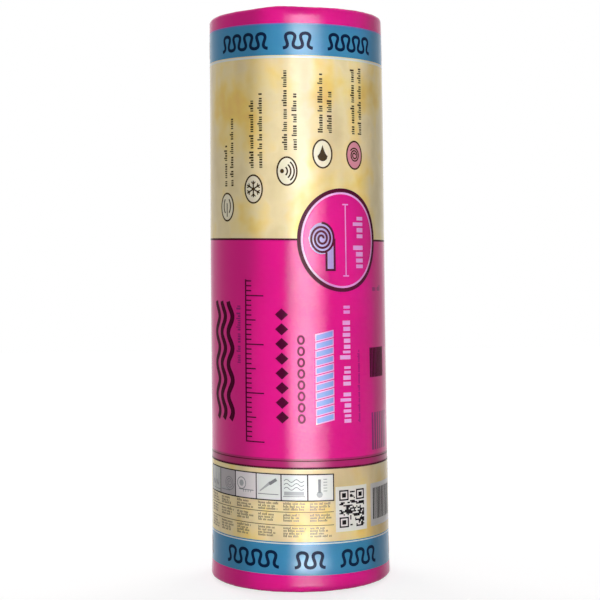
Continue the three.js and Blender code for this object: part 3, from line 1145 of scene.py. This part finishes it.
def thermometer(x, y):
    """A thermometer beside a scale of ticks."""
    tube = stroke([(x + 24, y + 16), (x + 24, y + 44)], 5.5)
    ticks = [stroke([(x + 32, y + at), (x + 40, y + at)], 1.3) for at in (20, 26, 32, 38, 44)]
    return [disc((x + 24, y + 13), 6.5, 6.5, 2.0)], [tube] + ticks


inks, frames, tones, lines, notes = [], [], [], [], []
for number, sketch in enumerate((joists, unrolling, tape, knife, layers, thermometer)):
    left = STRIP_LEFT + FRAME_WIDE * number
    right = left + FRAME_WIDE
    back = panel(left, STRIP_LOW, right, STRIP_HIGH)
    inks.append((ink_finish(f"frame_grey_ink_{number}", FRAME_GREYS_AND_SHADE[number]), 0, [back]))
    corners = [(left, STRIP_LOW), (right, STRIP_LOW), (right, STRIP_HIGH), (left, STRIP_HIGH)]
    frames.append(stroke(corners, FRAME_LINE, True))
    toned, drawn = sketch(left, STRIP_LOW)
    tones += toned
    lines += drawn
    for row, height in enumerate(NOTE_ROWS):
        length = FRAME_WIDE * random.Random(60 + 11 * number + row).uniform(*NOTE_LENGTH)
        notes += small_print(left + NOTE_INDENT, height, length, NOTE_SIZE, 90 + 10 * number + row)
frame_black_ink = ink_finish("frame_black_ink", FRAME_BLACK, DARK_GLOSS)
lay_print("fitting_strip", inks + [(frame_black_ink, 2, frames)], TWICE)
lay_print("fitting_sketches", [
    (ink_finish("sketch_tone_ink", SKETCH_TONE), 1, tones),
    (ink_finish("sketch_grey_ink", SKETCH_GREY), 1.6, lines),
], TWICE)
rules = [panel(STRIP_LEFT, height, STRIP_LEFT + 6 * FRAME_WIDE, height + RULE_LINE) for height in RULES]
lay_print("fitting_notes", [(ink_finish("taupe_ink", TAUPE), 0, notes), (umber_ink, 0, rules)], TWICE)


# ---- Code panels ----
# Two white panels printed on the lower cream band for the store's scanner: one holds a block of
# square modules in no order, and the other a row of bars.

PANEL_WHITE = (0.84, 0.81, 0.76, 1.0)
BAR_WHITE = (0.60, 0.57, 0.55, 1.0)
# Each panel's left, foot, right and top.
MODULE_PANEL, BAR_PANEL = (73.0, 126.0, 151.0, 219.0), (164.0, 128.0, 264.0, 218.0)
MODULES_LEFT, MODULES_LOW, MODULE = 81.0, 134.0, 3.1
MODULE_COLUMNS, MODULE_ROWS, FINDER = 20, 25, 7
MODULE_RUNS, DARK_SHARE = (1, 1, 2, 2, 3), 0.52
BARS_LEFT, BARS_RIGHT, BARS_LOW, BARS_HIGH = 172.0, 256.0, 142.0, 208.0
BAR_WIDTHS, BAR_GAPS = (1.2, 1.2, 2.4, 3.6), (1.2, 2.4, 2.4)


def module_block():
    """Square modules in rows, with a framed square in three of the corners."""
    draw = random.Random(46)
    shapes = []
    finders = [(0, 0), (0, MODULE_ROWS - FINDER), (MODULE_COLUMNS - FINDER, MODULE_ROWS - FINDER)]

    def block(left, low, right, high):
        return panel(MODULES_LEFT + MODULE * left, MODULES_LOW + MODULE * low,
                     MODULES_LEFT + MODULE * right, MODULES_LOW + MODULE * high)

    def in_finder(column, row):
        return any(a - 1 <= column <= a + FINDER and b - 1 <= row <= b + FINDER for a, b in finders)

    for row in range(MODULE_ROWS):
        column = 0
        while column < MODULE_COLUMNS:
            run = draw.choice(MODULE_RUNS)
            dark = draw.random() < DARK_SHARE
            cells = [place for place in range(column, min(column + run, MODULE_COLUMNS))
                     if not in_finder(place, row)]
            if dark and cells:
                shapes.append(block(cells[0], row, cells[-1] + 1, row + 1))
            column += run
    for column, row in finders:
        left, low = MODULES_LEFT + MODULE * (column + 0.5), MODULES_LOW + MODULE * (row + 0.5)
        right, high = left + MODULE * (FINDER - 1), low + MODULE * (FINDER - 1)
        shapes.append(stroke([(left, low), (right, low), (right, high), (left, high)], MODULE, True))
        shapes.append(block(column + 2, row + 2, column + FINDER - 2, row + FINDER - 2))
    return shapes


def uneven_bars():
    draw = random.Random(17)
    bars, at = [], BARS_LEFT
    while at < BARS_RIGHT:
        wide = draw.choice(BAR_WIDTHS)
        bars.append(panel(at, BARS_LOW, at + wide, BARS_HIGH))
        at += wide + draw.choice(BAR_GAPS)
    return bars


lay_print("module_panel", [
    (ink_finish("panel_white_ink", PANEL_WHITE), 0, [panel(*MODULE_PANEL)]),
    (frame_black_ink, 1, module_block()),
], TWICE)
lay_print("bar_panel", [
    (ink_finish("bar_white_ink", BAR_WHITE), 0, [panel(*BAR_PANEL)]),
    (frame_black_ink, 1, uneven_bars()),
])


# ---- Floor ----
# A plain pale floor that the roll stands on. It shows white where nothing shades it, and keeps
# the roll's shadow.

FLOOR_CORNERS = [(-7, -7, 0), (7, -7, 0), (7, 7, 0), (-7, 7, 0)]
FLOOR_PALE = (0.36, 0.36, 0.36, 1.0)
FLOOR_NEAR, FLOOR_FAR = 0.72, 1.0
FLOOR_NEAR_REACH, FLOOR_FAR_REACH = 1.2, 3.0


def background_rays(tree):
    """One for the rays that show the background: seen, mirrored or passing through."""
    ray = add_node(tree, "LightPath", {})
    reflected = worked(tree, "MAXIMUM", ray["Is Camera Ray"], ray["Is Glossy Ray"])
    return worked(tree, "MAXIMUM", reflected, ray["Is Transmission Ray"])


def pale_floor():
    finish, tree, _ = new_finish("pale_floor")
    tree.nodes.clear()
    place = add_node(tree, "TexCoord", {})["Object"]
    reach = add_node(tree, "VectorMath", {0: place}, operation="LENGTH")["Value"]
    fade = ranged(tree, reach, FLOOR_NEAR_REACH, FLOOR_FAR_REACH, FLOOR_NEAR, FLOOR_FAR)
    shown = worked(tree, "MULTIPLY", fade, background_rays(tree))
    matt = add_node(tree, "BsdfDiffuse", {"Color": FLOOR_PALE})["BSDF"]
    glow = add_node(tree, "Emission", {"Strength": shown})["Emission"]
    both = add_node(tree, "AddShader", {0: matt, 1: glow})["Shader"]
    add_node(tree, "OutputMaterial", {"Surface": both})
    return finish


floor = new_piece("floor", FLOOR_CORNERS, [(0, 1, 2, 3)])
floor.data.materials.append(pale_floor())


# ---- Light ----
# Plain soft studio light all round, and a stack of gridded lamps that lifts the front of the
# roll. A bank of small lamps on an arc, which only the film's gloss shows, draws the gleam.

SKY = 0.13
LIT_POINT = Vector((0.0, 0.0, 0.6))
# The soft lamps: name, place, width and height, and watts.
LAMPS = [
    ("front_lamp", (0.0, -3.3, 0.95), (1.9, 1.9), 31.0),
    ("left_lamp", (-2.9, -1.7, 0.95), (1.4, 1.8), 14.0),
    ("right_lamp", (2.9, -1.7, 0.95), (1.4, 1.8), 7.0),
    ("back_left_lamp", (-1.9, 2.7, 1.9), (1.9, 1.9), 58.0),
    ("back_right_lamp", (1.9, 2.7, 1.9), (1.9, 1.9), 58.0),
    ("top_lamp", (0.0, 0.2, 3.6), (2.2, 2.2), 30.0),
]

# Rows of the gridded lamps: lowest and highest point, and share of the light. Both lamps of a row
# start at one left edge, but each has its own right one and its share, so the light ends in steps.
GRID_ROWS = [(0.0, 0.27, 0.85), (0.27, 0.62, 1.0), (0.62, 0.97, 1.0), (0.97, 1.32, 1.0)]
GRID_STEPS = [(0.105, 0.55), (0.060, 0.45)]
GRID_LEFT, GRID_LEAN = -0.157, 0.030
GRID_TURN, GRID_AWAY = math.radians(20), 1.6
GRID_GLOW, GRID_SPREAD = 1.65, math.radians(1.9)

# Rows of the gloss bank: lowest and highest point, distance from the film, spread, W per m2.
BANK_ROWS = [
    (0.0, 0.056, 0.08, 16, 0.93),
    (0.0, 0.3, 0.31, 38, 5.3),
    (0.3, 0.6, 0.31, 38, 5.3),
    (0.6, 0.9, 0.31, 38, 5.3),
    (0.9, 1.2, 0.31, 38, 5.3),
    (1.2, 1.25, 0.31, 16, 0.93),
]
# Its columns, in degrees round the front of the film, and how far in their glow fades up.
BANK_LEFT, BANK_RIGHT, BANK_COLUMNS = -11.0, 23.0, 17
BANK_FADE_LEFT, BANK_FADE_RIGHT = 14.0, 19.0
FRONT_RADIUS = 0.19
EYE_HEIGHT, EYE_AWAY = 0.70, 2.9


def soft_lamp(name, at, size, watts, towards=LIT_POINT):
    data = bpy.data.lights.new(name, "AREA")
    data.shape = "RECTANGLE"
    data.size, data.size_y = size
    data.energy = watts
    lamp = bpy.data.objects.new(name, data)
    lamp.location = at
    lamp.rotation_euler = (towards - Vector(at)).to_track_quat("-Z", "Y").to_euler()
    lamp.visible_camera = False
    bpy.context.scene.collection.objects.link(lamp)
    return lamp


def from_front(turn):
    """The level direction at an angle from the front."""
    return Vector((math.sin(turn), -math.cos(turn), 0))


def gridded_lamps():
    """Lamps with tight grids, stacked up from the floor."""
    out = from_front(GRID_TURN)
    across = Vector((math.cos(GRID_TURN), math.sin(GRID_TURN), 0))
    for low, high, row_share in GRID_ROWS:
        height = (low + high) / 2
        left = GRID_LEFT + GRID_LEAN * height
        for right, share in GRID_STEPS:
            at = out * GRID_AWAY + across * (left + right) / 2 + Vector((0, 0, height))
            size = (right - left, high - low)
            watts = GRID_GLOW * row_share * share * size[0] * size[1]
            lamp = soft_lamp("gridded_lamp", at, size, watts, at - out)
            lamp.data.spread = GRID_SPREAD
            lamp.visible_glossy = False


def eased(share):
    share = min(max(share, 0.0), 1.0)
    return share * share * (3 - 2 * share)


def gloss_bank():
    """Small gridded lamps, each just where an eye in front sees it mirrored in the film."""
    step = (BANK_RIGHT - BANK_LEFT) / BANK_COLUMNS
    for column in range(BANK_COLUMNS):
        angle = BANK_LEFT + step * (column + 0.5)
        share = eased((angle - BANK_LEFT) / BANK_FADE_LEFT)
        share *= eased((BANK_RIGHT - angle) / BANK_FADE_RIGHT)
        turn = math.radians(angle)
        facing, mirrored = from_front(turn), from_front(2 * turn)
        for low, high, away, spread, glow in BANK_ROWS:
            middle = (low + high) / 2
            at = FRONT_RADIUS * facing + away * mirrored + Vector((0, 0, middle))
            climb = Vector((0, 0, (middle - EYE_HEIGHT) / (EYE_AWAY + away)))
            size = (math.radians(step) * (FRONT_RADIUS + 2 * away), high - low)
            watts = glow * share * size[0] * size[1]
            lamp = soft_lamp("gloss_lamp", at, size, watts, at - mirrored - climb)
            lamp.data.spread = math.radians(spread)
            lamp.visible_diffuse = False


def pale_sky():
    world = bpy.data.worlds.new("pale_sky")
    world.use_nodes = True
    tree = world.node_tree
    strength = ranged(tree, background_rays(tree), 0.0, 1.0, SKY, 1.0)
    set_inputs(tree, tree.nodes["Background"], {"Color": (1.0, 1.0, 1.0, 1.0), "Strength": strength})
    return world


bpy.context.scene.world = pale_sky()
for lamp_values in LAMPS:
    soft_lamp(*lamp_values).visible_glossy = False
gridded_lamps()
gloss_bank()
bpy.context.scene.view_settings.view_transform = "Standard"


# ---- Camera ----
# It stands three metres from the roll's axis, a little over half way up it, looks slightly down,
# and is rolled by about half a degree.

CAMERA_AT = (0.0, -3.08, EYE_HEIGHT)
CAMERA_DOWN, CAMERA_ROLL = math.radians(1.93), math.radians(0.6)
CAMERA_LENS, CAMERA_SENSOR, CAMERA_SHIFT = 85.4, 36.0, 0.0033

camera_data = bpy.data.cameras.new("camera")
camera_data.lens = CAMERA_LENS
camera_data.sensor_width = CAMERA_SENSOR
camera_data.shift_x = CAMERA_SHIFT
camera = bpy.data.objects.new("camera", camera_data)
look = Matrix.Rotation(math.pi / 2 - CAMERA_DOWN, 4, "X") @ Matrix.Rotation(-CAMERA_ROLL, 4, "Z")
camera.matrix_world = Matrix.Translation(CAMERA_AT) @ look
bpy.context.scene.collection.objects.link(camera)
bpy.context.scene.camera = camera
